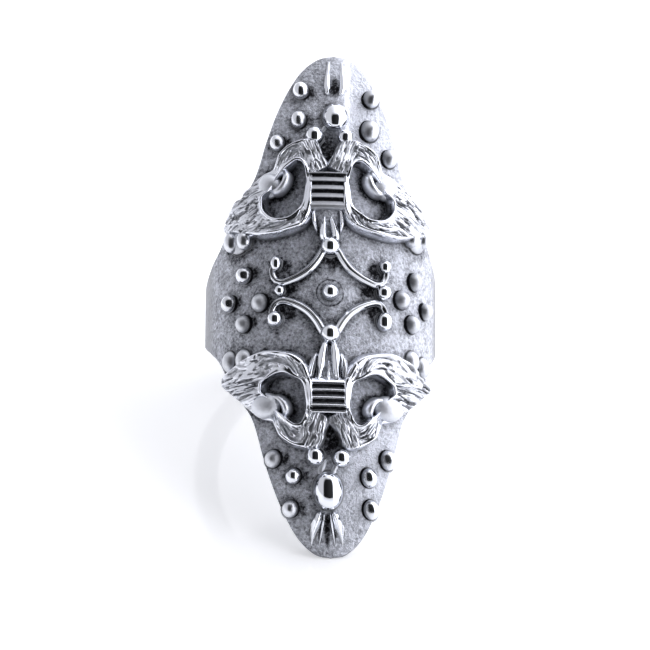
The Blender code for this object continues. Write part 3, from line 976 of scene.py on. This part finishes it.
def face_relief(out, along, half_length, in_window):
    """Low waves of the cast face, the keel of the upper tip, and the sunken window floors."""
    wave = grain(out * 0.9, along * 0.9, WAVE_SEED) + 0.6 * grain(out * 2.3, along * 2.3, WAVE_SEED + 1)
    lift = (wave - 0.8) * RIPPLE_HEIGHT * falling(np.abs(out), RIPPLE_UNTIL, 1.6)
    keel = bell(out - KEEL_OUT, np.where(out < KEEL_OUT, KEEL_LEFT, KEEL_RIGHT))
    keel = KEEL_HEIGHT * keel * rising(along, KEEL_START, 2.0)
    return lift + keel * falling(along, half_length, 1.5) + WINDOW_FLOOR * in_window


def field_shell():
    """The metal: cross-sections from edge to edge, carried round the finger and closed.

    Each section runs over the face, round the upper edge, back through the bore and round
    the lower edge. Its half length is the outline's, read with a smooth curve.
    """
    fine = np.arange(0.0, FINE_UNTIL, 0.108)
    coarse = np.linspace(FINE_UNTIL, math.pi * BAND_RADIUS, 34)
    half = np.concatenate([fine, coarse])
    out = np.concatenate([half, -half[-2:0:-1]])[:, None]
    path = smooth_path(OUTLINE, 2000)
    half_length = np.interp(np.abs(out), path[:, 0], path[:, 1])
    reach = half_length - EDGE_ROUND
    face_along = np.linspace(-1.0, 1.0, FACE_COLUMNS)[None, :] * reach
    bore_along = np.linspace(1.0, -1.0, BORE_COLUMNS)[None, :] * reach
    bend = np.linspace(0.0, math.pi, 8)[None, 1:-1]
    edge_along = reach + EDGE_ROUND * np.sin(bend)
    wall = thickness(half_length)
    upper_lift = -0.5 * wall * (1.0 - np.cos(bend))
    lower_lift = -0.5 * wall * (1.0 + np.cos(bend))
    face_out = out + 0.0 * face_along
    dark, in_window = face_oxide_and_shade(face_out, face_along)
    face_lift = face_relief(face_out, face_along, half_length, in_window)
    # Painted highlight: a strip just right of the upper tip's keel is painted clean of darkening, and it
    # is also more polished
    highlight_strip = bell(face_out - KEEL_OUT - 0.4, 0.4) * unit(face_along - TIP_START)
    cover = falling(np.abs(face_out), SATIN_UNTIL, 1.6)
    along = np.hstack([face_along, edge_along, bore_along, -edge_along])
    lift = np.hstack([face_lift, upper_lift, -thickness(bore_along), lower_lift])
    plain = 0.0 * along[:, FACE_COLUMNS:]
    face_darkening = dark * (1.0 - highlight_strip) * cover + BAND_FILM * (1.0 - cover)
    face_polish = BAND_POLISH * (1.0 - cover) + STRIP_POLISH * highlight_strip
    recess = np.hstack([face_darkening, plain + BAND_FILM])
    polish = np.hstack([face_polish, plain + BAND_POLISH])
    return ring_shell(on_face(out, along, lift), polish, recess)


# Materials

SOCKET_KINDS = {type(None): "Vector", float: "Float", tuple: "Color"}


def new_group(name, inputs, outputs):
    """An empty shader node group. An input has a number or a colour, or nothing for a vector."""
    group = bpy.data.node_groups.new(name, "ShaderNodeTree")
    for label, value in inputs.items():
        kind = "NodeSocket" + SOCKET_KINDS[type(value)]
        socket = group.interface.new_socket(label, in_out="INPUT", socket_type=kind)
        if value is not None:
            socket.default_value = value
    for label, kind in outputs.items():
        group.interface.new_socket(label, in_out="OUTPUT", socket_type="NodeSocket" + kind)
    return group, group.nodes.new("NodeGroupInput").outputs, group.nodes.new("NodeGroupOutput")


def feed(tree, node, inputs):
    """Give a node its inputs, each as a socket to link or as a value."""
    for name, value in inputs.items():
        if isinstance(value, bpy.types.NodeSocket):
            tree.links.new(value, node.inputs[name])
        else:
            node.inputs[name].default_value = value


def new_node(tree, kind, inputs, **settings):
    """A shader node with its settings and inputs."""
    node = tree.nodes.new("ShaderNode" + kind)
    for name, value in settings.items():
        setattr(node, name, value)
    feed(tree, node, inputs)
    return node


def math_node(tree, operation, *values, clamp=False):
    """A Math node whose inputs are sockets or numbers."""
    inputs = dict(enumerate(values))
    return new_node(tree, "Math", inputs, operation=operation, use_clamp=clamp).outputs[0]


def satin_grain_group():
    """Fine grain of a satin casting: a height for bump, and a mask for uneven roughness."""
    tree, given, made = new_group(
        "satin_grain",
        {"Vector": None, "Coarse": 3400.0, "Fine": 9000.0, "Cloud": 900.0, "Satin": 1.0},
        {"Height": "Float", "Mottle": "Float"},
    )
    noises = []
    for scale, detail in (("Coarse", 3.0), ("Fine", 2.0), ("Cloud", 2.0)):
        inputs = {"Vector": given["Vector"], "Scale": given[scale], "Detail": detail, "Roughness": 0.65}
        noises.append(new_node(tree, "TexNoise", inputs).outputs["Fac"])
    both = math_node(tree, "ADD", noises[0], math_node(tree, "MULTIPLY", noises[1], 0.45))
    height = math_node(tree, "MULTIPLY", both, given["Satin"])
    clouds = math_node(tree, "MULTIPLY", math_node(tree, "SUBTRACT", noises[2], 0.5), 0.5)
    spread = math_node(tree, "ADD", math_node(tree, "SUBTRACT", both, 0.725), clouds)
    spread = math_node(tree, "MULTIPLY", spread, 2.2)
    mottle = math_node(tree, "ADD", math_node(tree, "MULTIPLY", spread, given["Satin"]), 0.5)
    feed(tree, made, {"Height": height, "Mottle": mottle})
    return tree


def oxide_and_shade_wash_group():
    """Silver darkened by oxide in hollows and by painted shade: a colour, and a mask of how dark it is.
    """
    tree, given, made = new_group(
        "oxide_and_shade_wash",
        {"Recess": 0.0, "Mottle": 0.5, "Strength": 1.0, "Unevenness": 0.35,
         "Bright": (0.8, 0.81, 0.84, 1.0), "Oxide": (0.018, 0.018, 0.021, 1.0)},
        {"Color": "Color", "Dark": "Float"},
    )
    uneven = math_node(tree, "SUBTRACT", given["Mottle"], 0.5)
    uneven = math_node(tree, "MULTIPLY", uneven, given["Unevenness"])
    spread = math_node(tree, "ADD", given["Recess"], uneven)
    dark = math_node(tree, "MULTIPLY", spread, given["Strength"], clamp=True)
    colors = {"Factor": dark, "A": given["Bright"], "B": given["Oxide"]}
    mix = new_node(tree, "Mix", colors, data_type="RGBA")
    feed(tree, made, {"Color": mix.outputs["Result"], "Dark": dark})
    return tree


def silver(finish, groups):
    """Silver whose grain, roughness, oxide and painted shade follow the piece's two attributes."""
    made = bpy.data.materials.new(finish.name)
    made.use_nodes = True
    tree = made.node_tree
    place = new_node(tree, "TexCoord", {}).outputs["Object"]
    polish = new_node(tree, "Attribute", {}, attribute_name="polish").outputs["Fac"]
    recess = new_node(tree, "Attribute", {}, attribute_name="recess").outputs["Fac"]
    unpolished = math_node(tree, "SUBTRACT", 1.0, polish, clamp=True)
    satin = math_node(tree, "MULTIPLY", unpolished, finish.satin)
    texture = new_node(tree, "Group", {"Vector": place, "Satin": satin}, node_tree=groups["grain"])
    wash = new_node(tree, "Group", {}, node_tree=groups["oxide"])
    feed(tree, wash, {
        "Recess": recess,
        "Mottle": texture.outputs["Mottle"],
        "Strength": finish.oxide,
        "Unevenness": finish.mottle,
        "Bright": finish.color,
    })
    rougher = finish.satin_roughness - finish.smooth_roughness
    rough = math_node(tree, "MULTIPLY", unpolished, rougher)
    rough = math_node(tree, "ADD", finish.smooth_roughness, rough)
    dulled = math_node(tree, "MULTIPLY", wash.outputs["Dark"], OXIDE_ROUGHNESS)
    height = {"Strength": 1.0, "Distance": finish.bump, "Height": texture.outputs["Height"]}
    feed(tree, tree.nodes["Principled BSDF"], {
        "Metallic": 1.0,
        "Base Color": wash.outputs["Color"],
        "Roughness": math_node(tree, "ADD", rough, dulled),
        "Normal": new_node(tree, "Bump", height).outputs["Normal"],
    })
    return made


def make_materials():
    """The finishes of the one casting."""
    groups = {"grain": satin_grain_group(), "oxide": oxide_and_shade_wash_group()}
    return {part: silver(finish, groups) for part, finish in FINISHES.items()}


# Stage

def camera_axes():
    """Right, up and back directions of the photograph's view, in world axes."""
    side = Vector((math.cos(VIEW_LEFT), 0.0, math.sin(VIEW_LEFT)))
    facing = Vector((-math.sin(VIEW_LEFT), 0.0, math.cos(VIEW_LEFT)))
    finger = Vector((0.0, 1.0, 0.0))
    up = finger * math.cos(VIEW_BELOW) + facing * math.sin(VIEW_BELOW)
    back = -finger * math.sin(VIEW_BELOW) + facing * math.cos(VIEW_BELOW)
    right = side * math.cos(VIEW_ROLL) + up * math.sin(VIEW_ROLL)
    up = up * math.cos(VIEW_ROLL) - side * math.sin(VIEW_ROLL)
    lean = Matrix.Rotation(LEAN_BACK, 3, "X")
    return lean @ right, lean @ up, lean @ back


def make_camera():
    """A long lens at the photograph's angle to the face."""
    right, up, back = camera_axes()
    data = bpy.data.cameras.new("camera")
    data.sensor_width = SENSOR
    data.lens = PIXELS_PER_MM * VIEW_DISTANCE / FRAME_PIXELS * SENSOR
    data.clip_start = 0.01
    data.clip_end = 20.0
    camera = add_object("camera", data)
    aim = Vector(HOLE_MIDDLE) + right * VIEW_SHIFT[0] + up * VIEW_SHIFT[1]
    place = (aim + back * VIEW_DISTANCE) * MM
    camera.matrix_world = Matrix.Translation(place) @ Matrix((right, up, back)).transposed().to_4x4()
    bpy.context.scene.camera = camera


def make_world():
    """A white light tent that is open and dark towards the camera, brighter on the right."""
    right, up, back = camera_axes()
    world = bpy.data.worlds.new("light_tent")
    bpy.context.scene.world = world
    world.use_nodes = True
    tree = world.node_tree
    place = new_node(tree, "TexCoord", {}).outputs["Generated"]

    def along_axis(axis):
        """How far each direction points along an axis, from -1 to 1."""
        dot = new_node(tree, "VectorMath", {0: place, 1: axis}, operation="DOT_PRODUCT")
        return dot.outputs["Value"]

    def ramp(value, low, high, start, end):
        """A smooth step from the start at the low value to the end at the high one."""
        inputs = {"Value": value, "From Min": low, "From Max": high, "To Min": start, "To Max": end}
        return new_node(tree, "MapRange", inputs, interpolation_type="SMOOTHSTEP").outputs["Result"]

    def share_of(distance, reach):
        """Third power of a distance's share of the opening's reach."""
        share = math_node(tree, "DIVIDE", math_node(tree, "ABSOLUTE", distance), reach)
        return math_node(tree, "POWER", share, 3.0)

    sideways = along_axis(right)
    width = share_of(sideways, OPENING_WIDTH)
    height = share_of(along_axis(up), OPENING_HEIGHT)
    opening = ramp(math_node(tree, "ADD", width, height), 0.75, 1.3, 1.0, 0.0)
    opening = math_node(tree, "MULTIPLY", opening, ramp(along_axis(back), 0.0, 0.15, 0.0, 1.0))
    sides = ramp(sideways, -0.5, 0.62, TENT_LEFT, TENT_RIGHT)
    closed = math_node(tree, "SUBTRACT", 1.0, math_node(tree, "MULTIPLY", opening, OPENING_DARKNESS))
    strength = math_node(tree, "MULTIPLY", sides, closed)
    feed(tree, tree.nodes["Background"], {"Color": TENT_COLOR, "Strength": strength})


def make_floor():
    """A wide white sheet under the ring."""
    mesh = bpy.data.meshes.new("floor")
    signs = ((-1, -1), (1, -1), (1, 1), (-1, 1))
    corners = [(x * SHEET_REACH, y * SHEET_REACH, 0.0) for x, y in signs]
    mesh.from_pydata(corners, [], [(0, 1, 2, 3)])
    floor = add_object("floor", mesh)
    floor.location.z = -SHEET_DROP
    made = bpy.data.materials.new("white_sheet")
    made.use_nodes = True
    feed(made.node_tree, made.node_tree.nodes["Principled BSDF"], {
        "Base Color": SHEET_COLOR,
        "Roughness": 0.1,
        "Specular IOR Level": 0.7,
        "Emission Color": SHEET_GLOW,
        "Emission Strength": SHEET_GLOW_STRENGTH,
    })
    mesh.materials.append(made)


# The ridges: the claw, the star's wires, and the blades and rays that stand in pairs at each end

CLAW_RIDGE = Ridge(CLAW, 70, 32, 0.3)
RIGHT_WIRE = Ridge(STAR_ARC, 180, 32, 1.0, crest=0.95, cut=wire_cut, depth=RIGHT_GROOVE)
LEFT_WIRE = RIGHT_WIRE._replace(depth=LEFT_GROOVE)
FAN_WEB_RIDGE = Ridge(FAN_WEB, 80, 40, 0.0)
MIDDLE_RIDGE = Ridge(MIDDLE_BLADE, 60, 26, 1.0, crest=0.9)
NECK_RIDGE = Ridge(NECK_PETAL, 40, 20, 0.0)
BLADE_RIDGES = {
    "upper": (
        Ridge(UPPER_PETAL, 60, 26, 1.0, crest=0.9),
        Ridge(UPPER_STRAND, 50, 24, 0.7, crest=0.9),
    ),
    "lower": (
        Ridge(SIDE_BLADE, 60, 26, 1.0, crest=0.9),
        Ridge(OUTER_BLADE, 50, 24, 1.0, crest=0.9, cut=blade_cut, depth=0.08),
    ),
}
RAY_RIDGES = {
    "upper": (
        Ridge(UPPER_RAY, 80, 30, 1.0, crest=0.8, fade=1.5),
        NECK_RIDGE,
    ),
    "lower": (
        Ridge(OUTER_RAY, 80, 30, 1.0, crest=0.8, fade=1.8),
        Ridge(INNER_RAY, 80, 20, 1.0, crest=0.8, fade=1.8),
        NECK_RIDGE,
    ),
}
QUARTERS = (
    ("upper_right", 1, 1),
    ("upper_left", -1, 1),
    ("lower_right", 1, -1),
    ("lower_left", -1, -1),
)
ENDS = (("upper", 1, UPPER_COLLAR), ("lower", -1, LOWER_COLLAR))


def both_sides(ridges, end):
    """The shells of each ridge on the right, then on the left."""
    return [ridge_shell(ridge, side, end) for side in (1, -1) for ridge in ridges]


def make_ring(finish):
    """All pieces of the ring."""
    make_piece("satin_face_and_band", [field_shell()], finish["field"])
    for number, (name, side, end) in enumerate(QUARTERS):
        seed = FIRST_SEED + SEED_STEP * number
        wire = RIGHT_WIRE if side > 0 else LEFT_WIRE
        make_piece("scroll_frame_" + name, [frame_shell(side, end, seed)], finish["bark"])
        make_piece("claw_" + name, [ridge_shell(CLAW_RIDGE, side, end)], finish["bright"])
        make_piece("star_wire_" + name, [ridge_shell(wire, side, end)], finish["bright"])
        make_piece("knob_" + name, [knob_shell(side, end)], finish["bright"])
    for name, end, collar in ENDS:
        web = ridge_shell(FAN_WEB_RIDGE, 1, end)
        web = web._replace(recess=unit(web.recess + FIELD_FILM))
        blades = both_sides(BLADE_RIDGES[name], end)
        if name == "lower":
            blades.append(ridge_shell(MIDDLE_RIDGE, 1, end))
        make_piece("collar_" + name, [collar_shell(collar, end)], finish["bright"])
        make_piece("fan_web_" + name, [web], finish["field"])
        make_piece("blade_fan_" + name, blades, finish["bright"])
        make_piece("tip_rays_" + name, both_sides(RAY_RIDGES[name], end), finish["bright"])
    make_piece("scroll_beads", bead_shells(PAIR_BEADS), finish["bright"])
    make_piece("shoulder_beads", bead_shells(SHOULDER_BEADS), finish["bright"])
    make_piece("star_beads", bead_shells(STAR_BEADS + HOOK_BEADS, sides=48), finish["bright"])
    make_piece("star_disc", [disc_shell()], finish["field"])
    make_piece("granules", bead_shells(GRANULES, point=1.25, shade=GRANULE_SHADE), finish["bright"])


bpy.context.scene.view_settings.view_transform = "Standard"
make_ring(make_materials())
make_camera()
make_world()
make_floor()
